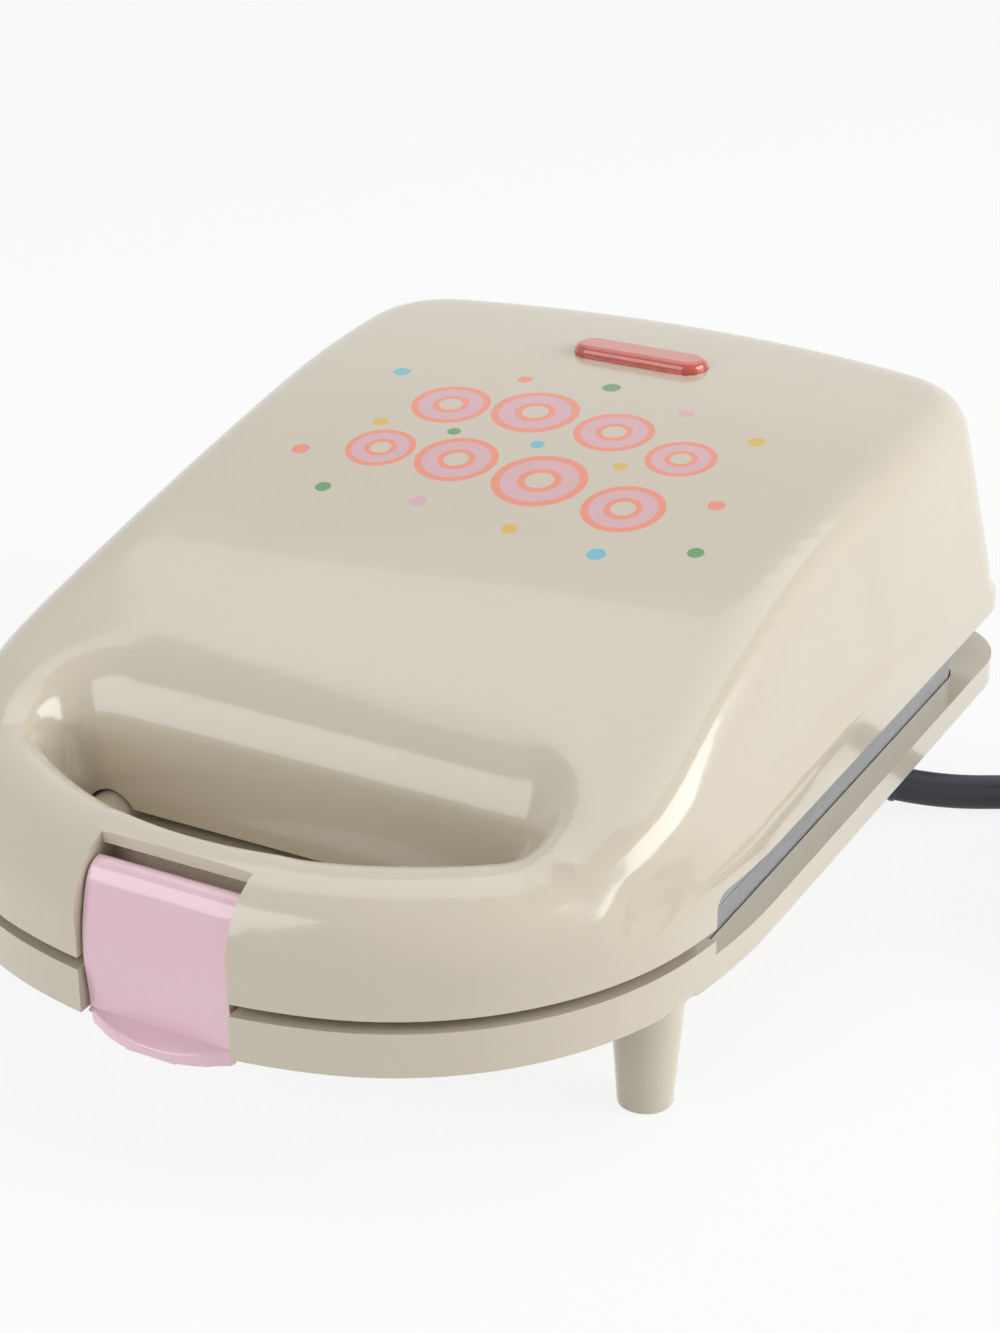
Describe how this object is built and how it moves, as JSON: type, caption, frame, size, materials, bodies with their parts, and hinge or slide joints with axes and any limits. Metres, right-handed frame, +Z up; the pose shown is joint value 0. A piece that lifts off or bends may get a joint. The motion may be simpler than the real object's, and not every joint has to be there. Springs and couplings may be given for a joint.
{
  "type": "mini donut maker",
  "caption": "Countertop cooker for small ring-shaped cakes: hinged lid over a base with ring plates, front latch, signal lamp and mains cord.",
  "frame": {"origin": "middle of the footprint on the surface that the feet stand on, measured without the cord", "axes": "+X to the right seen from the front, +Y to the back where the hinge is, +Z up"},
  "size_m": [0.3141, 0.204, 0.0808],
  "materials": {
    "housing": "glossy moulded plastic",
    "latch": "glossy moulded plastic",
    "lens": "clear tinted plastic",
    "lamp": "heat-proof moulding",
    "plate": "non-stick coating on cast aluminium",
    "heater": "steel tube",
    "sheet": "bright pressed sheet",
    "screws": "zinc plated",
    "pins": "drawn steel",
    "ceramic": "unglazed ceramic",
    "wiring": "glass fibre sleeve",
    "cord": "soft cord sheath",
    "tie": "soft strap",
    "brass": "bright brass"
  },
  "bodies": {
    "base": {"base_cover": "housing", "lower_plate": "plate", "lower_heater": "heater", "lower_reflector": "sheet", "lower_plate_screws": "screws", "thermostat": "ceramic", "thermal_fuse": "sheet", "terminal_block": "ceramic", "lower_wiring": "wiring", "hinge_pins": "pins", "strain_relief": "cord", "cord_lead": "cord", "cord_coil": "cord", "cord_tail": "cord", "cord_tie": "tie", "plug": "cord", "plug_blades": "brass"},
    "lid": {"lid_cover": "housing", "indicator_lens": "lens", "indicator_lamp": "lamp", "upper_plate": "plate", "upper_heater": "heater", "upper_reflector": "sheet", "upper_plate_screws": "screws", "latch_pin": "pins"},
    "latch": {"latch": "latch"}
  },
  "joints": [
    {"name": "lid_hinge", "type": "hinge", "parent": "base", "child": "lid", "pos_m": [0, 0.0968, 0.0325], "axis": [-1, 0, 0], "range_deg": [0, 100]},
    {"name": "latch_pivot", "type": "hinge", "parent": "lid", "child": "latch", "pos_m": [0, -0.0927, 0.041], "axis": [-1, 0, 0], "range_deg": [0, 25]}
  ]
}
